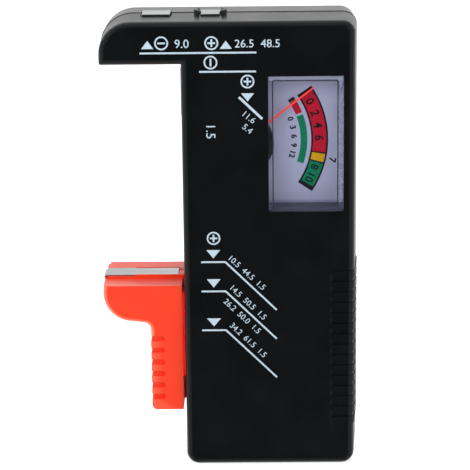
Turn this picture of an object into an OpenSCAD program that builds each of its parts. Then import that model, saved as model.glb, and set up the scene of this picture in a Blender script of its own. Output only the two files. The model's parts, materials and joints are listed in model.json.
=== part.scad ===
// Battery tester: a two-part case with a fixed jaw, a sliding contact for round cells,
// snap contacts for 9 V blocks on top and a moving-coil meter behind a window.
// Origin: centre of the case's bottom face. +X to the right of the dial, +Y to the back,
// +Z up. Millimetres.

/* [Case] */
// Width of the case without its jaw
body_w = 40.2; // [39.6:0.1:42]
// Height of the case
body_h = 108; // [106:0.5:112]
// Depth of the case
case_depth = 25; // [25:0.1:27]
// Depth of the front cover, from its face to the seam
front_depth = 15.2; // [15:0.1:15.4]
// Wall of both covers
wall = 1.8; // [1.6:0.1:1.8]
// Radius of the case's corners, seen from the front
corner_r = 3; // [2.5:0.1:4]
// Rounding of the front edges
front_round = 1.5; // [1:0.1:1.7]
// Rounding of the back edges
back_round = 1.8; // [1:0.1:1.9]
// Bevel on each cover along the seam
seam_bevel = 0.2; // [0.1:0.05:0.3]

/* [Jaw] */
// Reach of the jaw past the case's left side
jaw_reach = 18.9; // [18.7:0.1:20]
// Height of the jaw
jaw_h = 9.95; // [9.8:0.05:10.3]
// Radius of the jaw's outer top corner
jaw_crown_r = 7.5; // [5:0.1:7.5]
// Radius of the jaw's outer bottom corner
jaw_heel_r = 0.7; // [0.4:0.1:1]

/* [Grip] */
// Number of grip ribs on the right edge
grip_count = 15; // [8:1:16]
// Distance from rib to rib
grip_pitch = 2.6; // [2.4:0.1:2.6]
// Height of one rib
grip_h = 1.7; // [1.2:0.1:1.9]
// Height of the lowest rib above the ground
grip_low = 10.5; // [8:0.5:12]
// Length of the ribs across the front
grip_len = 5.7; // [4:0.1:7]
// Rise of the ribs above the case
grip_rise = 0.3; // [0.2:0.05:0.4]

/* [Meter] */
// Width of the window
window_w = 17.45; // [17:0.05:17.5]
// Height of the window
window_h = 32.2; // [30:0.1:32.4]
// Case between the window and the right side
window_side = 2.6; // [2.6:0.05:3]
// Case between the window and the top
window_top = 12.7; // [12.6:0.1:13]
// Depth of the dial's face behind the case's front
dial_depth = 7.5; // [7.3:0.1:7.7]
// Reach of the moving-coil system's round cap into the window
cap_show = 1.3; // [1:0.05:1.5]
// Drop of the pivot below the middle of the window
pivot_drop = 0.35; // [0:0.05:1]
// Pointer's angle above the horizontal at rest
pointer_rest = 37.5; // [36:0.1:40]
// Length of the pointer from its pivot
pointer_len = 21.1; // [18:0.1:21.2]

/* [Slider] */
// Width of the slider's head
head_w = 18.8; // [18.4:0.1:19.2]
// Height of the slider's head
head_h = 9; // [8.5:0.1:9.5]
// Radius of the head's lower left corner
head_r = 7; // [6:0.1:7.5]
// Width of the slider's grip
slider_grip_w = 7.6; // [7.6:0.1:8.4]
// Height of the slider, from its foot to its head's top
slider_h = 31.1; // [30.5:0.1:31.5]
// Thickness of the slider, front to back
slider_depth = 19.6; // [18:0.1:20]
// Gap between the slider and the case
slider_gap = 0.7; // [0.5:0.05:0.8]
// Gap between the two contacts as drawn
cell_gap = 51.25; // [51:0.05:51.5]
// Travel of the slider up, for shorter cells
travel_up = 8; // [6:0.5:8]
// Height of the slider's foot at its lowest, for the longest cells
foot_low = 1.8; // [1.8:0.1:4]
// Number of finger grooves
groove_count = 6; // [4:1:6]
// Distance from groove to groove
groove_pitch = 2.92; // [2.8:0.02:3]
// Depth of a finger groove
groove_deep = 0.55; // [0.3:0.05:0.6]

/* [Contacts] */
// Sheet metal of all contacts
sheet = 0.4; // [0.3:0.05:0.4]
// Width of the strips that meet a cell
strip_w = 6; // [5:0.1:6]
// Drop of the jaw's contact below the jaw
jaw_contact_drop = 1.5; // [1.2:0.1:1.6]
// Distance between the two snap contacts of a 9 V block
snap_pitch = 12.7; // [12.6:0.1:12.8]
// Place of the left snap contact, out from the case's left side
snap_out = 5.9; // [5.7:0.1:6.3]
// Width of the left snap contact
snap_wide = 6.6; // [6:0.1:6.8]
// Width of the right snap contact
snap_narrow = 4.4; // [4:0.1:4.4]
// Length of both snap contacts, front to back
snap_deep = 6.4; // [6:0.1:6.6]
// Rise of the snap contacts above the case
snap_rise = 0.45; // [0.3:0.05:0.6]
// Inner radius of the two guides beside the right snap contact
guide_r = 3.1; // [3.1:0.05:3.3]

/* [Fastening] */
// Radius of the case screws' shank
screw_r = 1.25; // [1.1:0.05:1.25]
// Radius of the case screws' head
screw_head_r = 2.5; // [2.3:0.05:2.6]
// Length of the case screws under the head
screw_len = 11; // [8:0.5:12]

/* [Hidden] */
$fn = 48;

// Clearances
fit = 0.1;          // pieces that stay put
run = 0.2;          // pieces that slide
cut = 1;            // reach of a cut past a face
bury = 0.3;         // depth that a rib or boss is rooted in its wall

// Faces of the case
left = -body_w / 2;
right = body_w / 2;
front = -case_depth / 2;
back = case_depth / 2;
seam = front + front_depth;
jaw_left = left - jaw_reach;
jaw_under = body_h - jaw_h;
inner_left = left + wall;
inner_right = right - wall;
inner_top = body_h - wall;
inner_front = front + wall;
inner_back = back - wall;

// Outline seen from the front, counter-clockwise: x, z, radius of the corner.
// The corner under the jaw turns inwards and stays sharp. The jaw's heel is tighter than
// the rim is deep, so two straight rims meet there in a mitre.
rim_band = max(front_round, back_round, wall) + 0.2;
arc_steps = 8;
outline = [
    [left, 0, corner_r],
    [right, 0, corner_r],
    [right, body_h, corner_r],
    [jaw_left, body_h, jaw_crown_r],
    [jaw_left, jaw_under, jaw_heel_r],
    [left, jaw_under, 0]];

// Window, dial and pivot
window_r = right - window_side;
window_l = window_r - window_w;
window_hi = body_h - window_top;
window_lo = window_hi - window_h;
dial_y = front + dial_depth;
dial_t = 0.4;
meter_room = 3.95;      // free stretch between the case's left wall and the meter
cap_margin = 1.1;       // housing left of the cap
meter_l = inner_left + meter_room;
cap_r = (window_l + cap_show - meter_l - cap_margin) / 2;
pivot_x = window_l + cap_show - cap_r;
pivot_z = (window_lo + window_hi) / 2 - pivot_drop;

// Lens and meter housing
lens_t = 0.95;
lens_gap = 0.1;
lens_face = front + 0.2;
flange_front = inner_front + fit;
flange_back = flange_front + 0.7;
meter_r = inner_right - fit;
meter_lo = window_lo - 0.9;
meter_hi = window_hi + 0.9;
meter_wall = 1.2;
base_front = dial_y + dial_t;
board_room = 6.2;       // board, nuts and resistors behind the housing
base_back = inner_back - board_room;

// Moving-coil system, front to back
ring_front = dial_y - 1.5;
ring_share = 0.545;     // ring's depth over the housing's
ring_back = ring_front + (base_back - ring_front) * ring_share;
ring_out = cap_r - 0.3;
ring_in = cap_r * 0.67;
magnet_r = cap_r * 0.438;
core_front = ring_front + 1;
core_flat = magnet_r - 0.3;   // flats above and below, where the spacers hold it
core_back = ring_back - 1;
former_t = 0.25;
winding_t = 0.6;
coil_gap = 0.35;
coil_in = magnet_r + coil_gap;
coil_out = coil_in + former_t + winding_t;
coil_w = 2.2;
former_front = core_front - coil_gap - former_t;
former_back = core_back + coil_gap + former_t;
winding_front = former_front - winding_t;
winding_back = former_back + winding_t;
pin_r = 0.35;
pin_base_r = 1.1;
pin_base_t = 0.2;
pointer_t = 0.25;
pointer_back = winding_front - pin_base_t - 0.05;
pointer_front = pointer_back - pointer_t;
cap_t = 1;
cap_back = pointer_front - 1.1;
cap_front = cap_back - cap_t;
post_r = 0.95;
post_at = (ring_in + ring_out) / 2;
spring_h = 0.3;
spring_t = 0.12;
spring_in = 0.8;
spring_out = 2.6;
spring_turns = 3.5;
spring_front_y = cap_back + 0.35;
spring_rear_y = winding_back + pin_base_t + 0.3;
bearing_r = 0.9;
cup_r = pin_r + 0.08;
bearing_depth = 0.5;
front_bearing_y = cap_back + 0.2;
rear_bearing_y = spring_rear_y + spring_h + 0.3;
bridge_screw_r = 0.5;
tail_len = 5.4;
arm_len = post_at - post_r - 1.1;
weight_r = 0.6;
weight_t = 0.92;
arm_weight_r = 0.4;

// Meter terminals and the board they carry
terminal_x = meter_r - 7;
terminal_z = [meter_lo + 8, meter_hi - 8];
terminal_r = 1.2;
board_front = base_back + 1.8;
board_t = 1.2;
board_back = board_front + board_t;
board_l = meter_l + 5.5;
board_r = meter_r - 3;
board_lo = meter_lo + 4;
board_hi = meter_hi - 4;
resistor_r = 1.1;
resistor_len = 6.4;
lead_r = 0.3;
lead_span = 10;
resistor_y = board_back + resistor_r + 0.3;
resistor_x = board_l + 7.5;
resistor_z = [for (row = [0 : 2]) board_lo + 6 + 7 * row];

// Slider; its web runs in a slot of the case's left side, open to the seam
slider_r = left - slider_gap;
ledge_low = 0.5;        // seat of the strip, which runs on to the back of the head
ledge_high = 1;         // walls beside the strip
slider_top = jaw_under - jaw_contact_drop - cell_gap - ledge_low - sheet;
slider_foot = slider_top - slider_h;
head_l = slider_r - head_w;
grip_l = slider_r - slider_grip_w;
head_under = slider_top - head_h;
neck_r = 1.8;
foot_r = 1.2;
web_front = -1.7;
web_back = seam - 0.3;
pad_rise = 0.5;
pad_half = slider_depth / 2 - 1.2;
pad_lo = slider_foot + 8.1;
pad_hi = slider_top - 1.9;
pad_notches = [[slider_foot + 16.9, 0.7], [slider_foot + 23.7, 0.35]];   // height, width
slot_end = 0.4;
ledge_half = 3.4;
ledge_step = slider_r - 11.4;
ledge_end = 0.6;        // behind it the walls leave a notch beside the case
strip_half = strip_w / 2 + fit / 2;
slot_lo = foot_low - slot_end;
slot_hi = slider_top + ledge_high + travel_up + slot_end;
shoe_l = inner_left + run;
shoe_t = 2;
shoe_r = shoe_l + shoe_t;
shoe_half = 5.2;
shoe_lo = slider_foot + 1.2;
shoe_hi = slider_top - 2.4;
guide_x = shoe_r + run;
guide_t = 1;
guide_half = 3.6;
guide_lo = wall;
guide_hi = slot_hi + 1.6;
groove_h = 1.4;
groove_r = grip_l + 3.4;
groove_first = slider_foot + 3.3;
core_wall = 1.8;
core_hi = head_under - 2;

// Strip on the slider, its tail inside the case and the wiper
strip_z = slider_top + ledge_low + sheet / 2;
fold_x = slider_r - 1.2;
fold_back = fold_x + sheet / 2 + 0.15;
tail_w = 2.4;
tail_z = slider_top - 4.2;
tail_in_x = shoe_r + 0.05 + sheet / 2;
tail_lo = tail_z - 9;
rivet_z = tail_z - 5.5;
rivet_r = 0.8;
rivet_head_r = 1.4;
wiper_w = 4;
wiper_t = 0.3;
wiper_x = tail_in_x + sheet / 2 + wiper_t / 2;
rail_l = guide_x + 2.6;
rail_half = 2.5;
rail_lo = slot_lo + 4;
rail_hi = slot_hi + 1;
holder_h = 2.5;
holder_out = 1.3;

// Snap contacts
snap_neg_x = left - snap_out;
snap_pos_x = snap_neg_x + snap_pitch;
snap_seat = body_h - 0.3;
snap_margin = 0.35;
snap_leg_w = 3;
snap_leg_lo = inner_top - 1.8;
guide_out_r = guide_r + 0.8;
guide_span = 42;
guide_rise = 1.2;

// Jaw contact and button contact
jaw_leg_l = jaw_left + 2.6;
jaw_leg_r = left - 4.2;
jaw_run_z = jaw_under - jaw_contact_drop + sheet / 2;
jaw_tab_z = jaw_under + wall + 0.1 + sheet / 2;
button_hi = jaw_under - 2.6;
button_lo = button_hi - 10.8;
button_x = left - sheet / 2;
button_tab_x = inner_left + 0.05 + sheet / 2;

// Screws: x, z
post_out_r = 2.8;
socket_out_r = 3.3;
screw_at = [
    [right - 8, body_h - 6.2],
    [guide_x + 1.4, guide_hi + socket_out_r + 0.1],
    [right - 6.5, 8]];
screw_seat = back - 6.5;
screw_joint = seam + 0.3;
screw_head_t = 1.8;
cross_w = 0.6;
cross_l = 2.6;
cross_deep = 1;
peg_at = [jaw_left + 6.2, body_h - 5];
peg_r = 1;
peg_post_r = 2;

// Wires, and the pads along the board's left and upper edge where they end
wire_r = 0.55;
wire_sides = 8;
wire_steps = 5;
pad_x = board_l + 1;
pad_y = board_back + wire_r;
clamp_l = pad_x + 6.4;
tab_top = jaw_tab_z + sheet / 2;

function on_arc(centre, r, from, to, steps) = [
    for (k = [0 : steps])
        let (a = from + (to - from) * k / steps)
            centre + r * [cos(a), sin(a)]];
function turned(p, a) = [p.x * cos(a) - p.y * sin(a), p.x * sin(a) + p.y * cos(a)];
function unit(v) = v / norm(v);
function side_of(v) = [-v.y, v.x];
function flat(lists) = [for (l = lists) for (item = l) item];

// Direction of the outline's side that starts at corner i
function heading(i) =
    let (here = outline[i], next = outline[(i + 1) % len(outline)])
        atan2(next.y - here.y, next.x - here.x);

// The outline drawn a distance inwards
function inset(d) = flat([
    for (i = [0 : len(outline) - 1])
        let (
            r = outline[i].z,
            points = r == 0 ? [[-d, d]]
                : r > d ? on_arc([r, r], r - d, 180, 270, arc_steps)
                : [[d, d]])
            [for (p = points) [outline[i].x, outline[i].y] + turned(p, heading(i))]]);

// A strip of sheet along a path, bent sharply at its points
function ribbon(path, t) =
    let (
        last = len(path) - 1,
        normals = [for (i = [0 : last - 1]) side_of(unit(path[i + 1] - path[i]))],
        shifts = [
            for (i = [0 : last])
                i == 0 ? normals[0]
                    : i == last ? normals[last - 1]
                    : (normals[i - 1] + normals[i]) / (1 + normals[i - 1] * normals[i])])
    concat(
        [for (i = [0 : last]) path[i] + shifts[i] * t / 2],
        [for (i = [last : -1 : 0]) path[i] - shifts[i] * t / 2]);

// A smooth run through points: each stretch is a Catmull-Rom piece
function smooth_at(p, i, s) =
    let (
        last = len(p) - 1,
        a = p[max(i - 1, 0)],
        b = p[i],
        c = p[i + 1],
        d = p[min(i + 2, last)])
    0.5 * (2 * b + (c - a) * s + (2 * a - 5 * b + 4 * c - d) * s * s
        + (3 * b - a - 3 * c + d) * s * s * s);
function smooth(p, steps) = concat(
    [for (i = [0 : len(p) - 2]) for (k = [0 : steps - 1]) smooth_at(p, i, k / steps)],
    [p[len(p) - 1]]);

// Wall profiles, as [distance in from the outline, distance towards the front]. The skin is
// the outer side, the inside hollow or solid.
front_skin = concat(
    [[rim_band, -front]],
    on_arc([front_round, -front - front_round], front_round, 90, 180, arc_steps),
    [[0, -seam + seam_bevel], [seam_bevel, -seam]]);
back_skin = concat(
    [[seam_bevel, -seam], [0, -seam - seam_bevel]],
    on_arc([back_round, -back + back_round], back_round, 180, 270, arc_steps),
    [[rim_band, -back]]);
front_hollow = [[wall, -seam], [wall, -inner_front], [rim_band, -inner_front]];
back_hollow = [[rim_band, -inner_back], [wall, -inner_back], [wall, -seam]];
seam_solid = [[rim_band, -seam]];

// Box between two opposite corners
module block(low, high) {
    translate(low) cube(high - low);
}

// Rods along Y and X
module rod_y(x, z, y0, y1, r) {
    translate([x, y0, z]) rotate([-90, 0, 0]) cylinder(h = y1 - y0, r = r);
}
module rod_x(x0, x1, y, z, r) {
    translate([x0, y, z]) rotate([0, 90, 0]) cylinder(h = x1 - x0, r = r);
}

// A shape drawn in the X-Z plane, from depth y0 to y1
module plan(y0, y1) {
    translate([0, y1, 0]) rotate([90, 0, 0]) linear_extrude(height = y1 - y0) children();
}

// Stretch of rim along +X, starting at from
module rim_run(profile, from, to) {
    translate([from, 0, 0]) rotate([90, 0, 90]) linear_extrude(height = to - from) polygon(profile);
}

// Corner tighter than the rim is deep: two solid rims cross, and their edge is rounded
module mitre(profile, r) {
    intersection() {
        rim_run(profile, 0, rim_band);
        rotate([0, 0, 90]) mirror([0, 1, 0]) rim_run(profile, 0, rim_band);
        translate([0, 0, -case_depth]) linear_extrude(height = 2 * case_depth)
            polygon(concat(on_arc([r, r], r, 180, 270, arc_steps),
                [[rim_band, 0], [rim_band, rim_band], [0, rim_band]]));
    }
}

// Carries a wall's skin round the outline, hollow inside
module rim(skin, hollow) {
    count = len(outline);
    profile = concat(skin, hollow);
    rotate([90, 0, 0])
    for (i = [0 : count - 1]) {
        here = outline[i];
        next = outline[(i + 1) % count];
        length = norm([next.x - here.x, next.y - here.y]);
        from = here.z > 0 ? max(here.z, rim_band) : -rim_band;
        to = length - (next.z > 0 ? max(next.z, rim_band) : -rim_band);
        translate([here.x, here.y, 0]) rotate([0, 0, heading(i)]) {
            rim_run(profile, from, to);
            if (here.z >= rim_band)
                translate([here.z, here.z, 0]) rotate([0, 0, 180])
                    rotate_extrude(angle = 90)
                        polygon([for (p = profile) [here.z - p.x, p.y]]);
            else if (here.z > 0)
                mitre(concat(skin, seam_solid), here.z);
        }
    }
}

// Bent sheet metal, given by its path in the X-Z plane
module bent_strip(path, width, t = sheet) {
    plan(-width / 2, width / 2) polygon(ribbon(path, t));
}

// Insulated wire along a smooth route
module wire(route, r = wire_r) {
    path = smooth(route, wire_steps);
    last = len(path) - 1;
    rings = [
        for (i = [0 : last])
            let (
                ahead = unit(path[min(i + 1, last)] - path[max(i - 1, 0)]),
                across = unit(cross(ahead, [0.31, 0.17, 0.93])),
                up = cross(across, ahead))
            [for (k = [0 : wire_sides - 1])
                path[i] + r * (across * cos(360 * k / wire_sides) + up * sin(360 * k / wire_sides))]];
    sides = [
        for (i = [0 : last - 1])
            for (k = [0 : wire_sides - 1])
                let (
                    a = i * wire_sides + k,
                    b = i * wire_sides + (k + 1) % wire_sides)
                each [[b, a, a + wire_sides], [b, a + wire_sides, b + wire_sides]]];
    ends = [
        [for (k = [0 : wire_sides - 1]) k],
        [for (k = [wire_sides - 1 : -1 : 0]) last * wire_sides + k]];
    polyhedron(points = flat(rings), faces = concat(sides, ends));
}

// Flat face of one cover, inside its rounded rim
module face_plate(y0, y1) {
    plan(y0, y1) polygon(inset(rim_band - 0.1));
}

// One grip rib: it starts round on the front and wraps round the right edge
module grip_rib(z) {
    x0 = right - grip_len;
    x1 = right + grip_rise;
    y0 = front - grip_rise;
    r = front_round + grip_rise;
    intersection() {
        translate([0, 0, z]) linear_extrude(height = grip_h) polygon(concat(
            [[x0, inner_front - bury], [x0, y0]],
            on_arc([x1 - r, y0 + r], r, -90, 0, arc_steps),
            [[x1, 0.6], [right, 1.2], [right - wall / 2, 1.2], [right - wall / 2, inner_front - bury]]));
        plan(y0 - cut, seam) {
            translate([x0 + grip_h / 2, z + grip_h / 2]) circle(d = grip_h);
            translate([x0 + grip_h / 2, z]) square([x1 + cut - x0, grip_h]);
        }
    }
}

// Two curved guides beside the right snap contact
module snap_guides() {
    translate([snap_pos_x, 0, body_h - bury])
        for (turn = [0, 180])
            rotate([0, 0, turn - guide_span])
                rotate_extrude(angle = 2 * guide_span)
                    translate([guide_r, 0]) square([guide_out_r - guide_r, guide_rise + bury]);
}

// Seat and leg slots of a snap contact, cut into both covers
module snap_cut(x, width) {
    half = width / 2 + snap_margin;
    deep = snap_deep / 2 + snap_margin;
    block([x - half, -deep, snap_seat], [x + half, deep, body_h + guide_rise + cut]);
    for (side = [-1, 1])
        translate([x + side * (width - sheet) / 2, 0, 0])
            block(
                [-sheet / 2 - run, -snap_leg_w / 2 - run, inner_top - cut],
                [sheet / 2 + run, snap_leg_w / 2 + run, snap_seat + cut]);
}

// Slots of the jaw's contact and of the button contact
module strip_slots() {
    half = strip_w / 2 + run;
    for (x = [jaw_leg_l, jaw_leg_r])
        block(
            [x - sheet / 2 - run, -half, jaw_under - cut],
            [x + sheet / 2 + run, half, jaw_under + wall + 0.05]);
    for (z = [button_lo, button_hi])
        block(
            [left - cut, -half, z - sheet / 2 - run],
            [inner_left + 0.05, half, z + sheet / 2 + run]);
}

// Holder for one end of the contact rail, seen from one cover
module rail_holder(z, y0, y1) {
    difference() {
        block([rail_l - holder_out, y0, z], [rail_l + sheet + holder_out, y1, z + holder_h]);
        block([rail_l - fit / 2, -rail_half - fit, z - cut], [rail_l + sheet + fit / 2, rail_half + fit, z + holder_h + cut]);
    }
}

module front_cover() {
    color("#1b1e20")
    difference() {
        union() {
            rim(front_skin, front_hollow);
            face_plate(front, inner_front);
            for (i = [0 : grip_count - 1]) grip_rib(grip_low + i * grip_pitch);
            snap_guides();
            for (p = screw_at) rod_y(p.x, p.y, inner_front - bury, screw_joint, post_out_r);
            block([guide_x, inner_front - bury, guide_lo - bury], [guide_x + guide_t, -guide_half, guide_hi]);
            for (z = [rail_lo, rail_hi - holder_h]) rail_holder(z, inner_front - bury, -1.5);
            block([meter_l - 1.3, inner_front - bury, meter_lo], [meter_l - fit, base_front, meter_hi]);
            for (z = [meter_lo - fit - 1.2, meter_hi + fit])
                block([meter_l + 2, inner_front - bury, z], [meter_r - 4, dial_y, z + 1.2]);
            rod_y(peg_at.x, peg_at.y, inner_front - bury, seam - 1, peg_post_r);
            rod_y(peg_at.x, peg_at.y, seam - 2, seam + 2, peg_r);
        }
        block([window_l, front - cut, window_lo], [window_r, inner_front + cut, window_hi]);
        block([left - cut, web_front - run, slot_lo], [inner_left + 0.05, seam + cut, slot_hi]);
        snap_cut(snap_neg_x, snap_wide);
        snap_cut(snap_pos_x, snap_narrow);
        strip_slots();
        for (p = screw_at) rod_y(p.x, p.y, screw_seat - screw_len - 1, screw_joint + cut, screw_r + 0.05);
    }
}

// Tongue on the back cover that slips inside the front cover; its wall lies at -x
module tongue(x, z, turn, length) {
    translate([x, seam, z]) rotate([0, turn, 0]) {
        block([fit, -1.6, -length / 2], [fit + 0.9, 3, length / 2]);
        block([-bury, 0.3, -length / 2], [fit + 0.9, 3, length / 2]);
    }
}

module back_cover() {
    tongues = [
        [inner_left, window_lo + 6, 0, 10],
        [inner_right, grip_low + 14, 180, 10],
        [inner_right, grip_low + 36, 180, 10],
        [0, inner_top, 90, 10],
        [-2, wall, -90, 12]];
    color("#1b1e20")
    difference() {
        union() {
            rim(back_skin, back_hollow);
            face_plate(inner_back, back);
            for (t = tongues) tongue(t[0], t[1], t[2], t[3]);
            for (p = screw_at) rod_y(p.x, p.y, screw_joint, inner_back + bury, socket_out_r);
            block([guide_x, guide_half, guide_lo - bury], [guide_x + guide_t, inner_back + bury, guide_hi]);
            for (z = [rail_lo, rail_hi - holder_h]) rail_holder(z, 1.5, inner_back + bury);
            for (z = [meter_lo + 0.2, meter_hi - 1.6])
                block([clamp_l, base_back, z], [meter_r - 2, inner_back + bury, z + 1.4]);
            rod_y(peg_at.x, peg_at.y, seam - 1, inner_back + bury, peg_post_r + 0.3);
        }
        snap_cut(snap_neg_x, snap_wide);
        snap_cut(snap_pos_x, snap_narrow);
        strip_slots();
        rod_y(peg_at.x, peg_at.y, seam - 1 - cut, seam + 3, peg_r + 0.08);
        for (p = screw_at) {
            rod_y(p.x, p.y, screw_joint - cut, back + cut, screw_r + 0.25);
            rod_y(p.x, p.y, screw_seat, back + cut, screw_head_r + 0.3);
        }
    }
}

module case_screws() {
    color("#9a9ca0")
    for (p = screw_at)
        difference() {
            union() {
                rod_y(p.x, p.y, screw_seat - screw_len, screw_seat + bury, screw_r);
                rod_y(p.x, p.y, screw_seat, screw_seat + screw_head_t, screw_head_r);
            }
            for (turn = [0, 90])
                translate([p.x, screw_seat + screw_head_t, p.y]) rotate([0, turn, 0])
                    block([-cross_l / 2, -cross_deep, -cross_w / 2], [cross_l / 2, cut, cross_w / 2]);
        }
}

module jaw_contact() {
    color("#c9ccd0")
    bent_strip([
        [jaw_leg_l + 2.4, jaw_tab_z], [jaw_leg_l, jaw_tab_z], [jaw_leg_l, jaw_run_z + 0.5],
        [jaw_leg_l + 0.5, jaw_run_z], [jaw_leg_r - 0.5, jaw_run_z], [jaw_leg_r, jaw_run_z + 0.5],
        [jaw_leg_r, jaw_tab_z], [jaw_leg_r + 2.6, jaw_tab_z]], strip_w);
}

module button_contact() {
    color("#c9ccd0")
    bent_strip([
        [button_tab_x, button_hi - 3], [button_tab_x, button_hi], [button_x, button_hi],
        [button_x, button_lo], [button_tab_x, button_lo], [button_tab_x, button_lo + 3]], strip_w);
}

// A snap contact: a plate with bent-down ends and two legs through the case's top
module snap_contact(x, width) {
    top = body_h + snap_rise;
    half = width / 2;
    deep = snap_deep / 2;
    translate([x, 0, 0]) {
        block([-half, -deep, top - sheet], [half, deep, top]);
        for (side = [-1, 1]) {
            translate([0, side * (deep - sheet / 2), 0])
                block([-half, -sheet / 2, snap_seat], [half, sheet / 2, top - sheet]);
            translate([side * (half - sheet / 2), 0, 0])
                block([-sheet / 2, -snap_leg_w / 2, snap_leg_lo], [sheet / 2, snap_leg_w / 2, top - sheet]);
        }
    }
}

module snap_contact_negative() {
    color("#d4d6d9") snap_contact(snap_neg_x, snap_wide);
}

module snap_contact_positive() {
    color("#d4d6d9") snap_contact(snap_pos_x, snap_narrow);
}

module contact_rail() {
    color("#c8a24a")
    block([rail_l, -rail_half, rail_lo], [rail_l + sheet, rail_half, rail_hi]);
}

module circuit_board() {
    color("#2f6b3a")
    difference() {
        block([board_l, board_front, board_lo], [board_r, board_back, board_hi]);
        for (z = terminal_z) rod_y(terminal_x, z, board_front - cut, board_back + cut, terminal_r + 0.15);
        for (z = resistor_z)
            for (side = [-1, 1])
                rod_y(resistor_x + side * lead_span / 2, z, board_front - cut, board_back + cut, lead_r + 0.1);
    }
}

// Resistor lying behind the board, its leads bent through it
module resistor(z) {
    rod_x(resistor_x - resistor_len / 2, resistor_x + resistor_len / 2, resistor_y, z, resistor_r);
    for (side = [-1, 1]) {
        end = resistor_x + side * (resistor_len / 2 - 0.5);
        rod_x(end - 0.7, end + 0.7, resistor_y, z, resistor_r + 0.12);
        rod_y(resistor_x + side * lead_span / 2, z, board_front - 0.6, resistor_y + lead_r, lead_r + 0.03);
    }
    rod_x(resistor_x - lead_span / 2, resistor_x + lead_span / 2, resistor_y, z, lead_r);
}

module cell_load_resistor() {
    color("#6f8f9c") resistor(resistor_z[0]);
}

module block_load_resistor() {
    color("#c9b48a") resistor(resistor_z[1]);
}

module series_resistor() {
    color("#c9b48a") resistor(resistor_z[2]);
}

module jaw_wire() {
    color("#222222")
    wire([
        [jaw_leg_r + 1.4, -1.4, tab_top + wire_r], [left + 1.5, -1.2, tab_top + 1],
        [left + 4.6, 3.6, tab_top + 1], [left + 6.8, 7.4, meter_hi + 0.6], [pad_x - 3.4, pad_y + 0.4, board_hi - 0.6],
        [pad_x, pad_y, board_hi - 4]]);
}

module block_wire() {
    color("#b3261e")
    wire([
        [snap_pos_x + snap_narrow / 2 + wire_r, 0, snap_leg_lo + 0.8], [pivot_x - 3.6, 1.6, snap_leg_lo - 1.4],
        [pivot_x - 1.2, 6.4, meter_hi + 3], [pad_x + 4, pad_y + 0.6, meter_hi - 1], [pad_x + 4, pad_y, board_hi - 2]]);
}

module link_wire() {
    color("#222222")
    wire([
        [snap_neg_x + snap_wide / 2 + wire_r, 0.4, snap_leg_lo + 0.8],
        [snap_neg_x + snap_wide / 2 + wire_r, 0.7, snap_leg_lo - 0.7],
        [jaw_leg_r + 1.5, 1.3, tab_top + 1.6], [jaw_leg_r + 1.2, 1.4, tab_top + 0.12]]);
}

module button_wire() {
    color("#d8a41c")
    wire([
        [button_tab_x + sheet / 2 + wire_r, 0, button_lo + 1.5], [inner_left + 1.8, 2, button_lo - 1.6],
        [inner_left + 2.6, 6.6, button_lo - 4], [pad_x - 3.4, pad_y + 0.3, button_lo - 6],
        [pad_x, pad_y, board_lo + 9]]);
}

module rail_wire() {
    color("#b3261e")
    wire([
        [rail_l + sheet + wire_r, 0, rail_hi - 4], [rail_l + 3.4, 1.6, rail_hi - 1.6],
        [rail_l + 3.8, 4.6, rail_hi + 3], [pad_x - 2.6, pad_y - 0.2, meter_lo - 1], [pad_x, pad_y, board_lo + 3]]);
}

// Stud that holds the outer end of a hairspring
module spring_stud(y0, y1) {
    x = pivot_x + spring_out + spring_t / 2;
    block([x, y0, pivot_z - 0.3], [x + 0.5, y1, pivot_z + 0.3]);
}

module meter_base() {
    color("#26282b")
    difference() {
        union() {
            difference() {
                block([meter_l, base_front, meter_lo], [meter_r, base_back, meter_hi]);
                block(
                    [meter_l + meter_wall, base_front - cut, meter_lo + meter_wall],
                    [meter_r - meter_wall, base_back - meter_wall, meter_hi - meter_wall]);
            }
            rod_y(pivot_x, pivot_z, ring_back, base_back - bury, ring_out);
            for (z = terminal_z) rod_y(terminal_x, z, base_back - meter_wall - bury, board_front, 2.6);
        }
        rod_y(pivot_x, pivot_z, ring_back - cut, base_back - meter_wall, ring_in + 0.1);
        rod_y(pivot_x, pivot_z, base_back - meter_wall - cut, base_back + cut, bearing_r + 0.6);
        for (side = [-1, 1])
            rod_y(pivot_x, pivot_z + side * post_at, ring_back - cut, ring_back + 4, bridge_screw_r + 0.05);
        for (z = terminal_z) rod_y(terminal_x, z, base_back - meter_wall - cut, board_front + cut, terminal_r + 0.05);
    }
    color("#26282b")
    difference() {
        rod_y(pivot_x, pivot_z, rear_bearing_y + 0.2, base_back, bearing_r + 0.6);
        rod_y(pivot_x, pivot_z, rear_bearing_y, base_back + cut, bearing_r + 0.03);
    }
    color("#26282b") spring_stud(spring_rear_y, base_back - meter_wall + bury);
}

module meter_lens() {
    x0 = window_l + lens_gap;
    x1 = window_r - lens_gap;
    z0 = window_lo + lens_gap;
    z1 = window_hi - lens_gap;
    face_back = lens_face + 1;
    color("#dfe6ea", 0.35)
    difference() {
        union() {
            difference() {
                block([meter_l, flange_front, meter_lo], [meter_r, dial_y, meter_hi]);
                block([meter_l + lens_t, flange_back, meter_lo + lens_t], [meter_r - lens_t, dial_y + cut, meter_hi - lens_t]);
            }
            block([x0, lens_face, z0], [x1, dial_y, z1]);
        }
        block([x0 + lens_t, face_back, z0 + lens_t], [x1 - lens_t, dial_y + cut, z1 - lens_t]);
        block([x0 - cut, flange_back, z0 + lens_t], [x0 + lens_t + cut, dial_y + cut, z1 - lens_t]);
    }
}

module dial_plate() {
    color("#9c9cb4")
    difference() {
        block([meter_l, dial_y, meter_lo], [meter_r, base_front, meter_hi]);
        rod_y(pivot_x, pivot_z, dial_y - cut, base_front + cut, ring_out + 0.15);
    }
}

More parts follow.
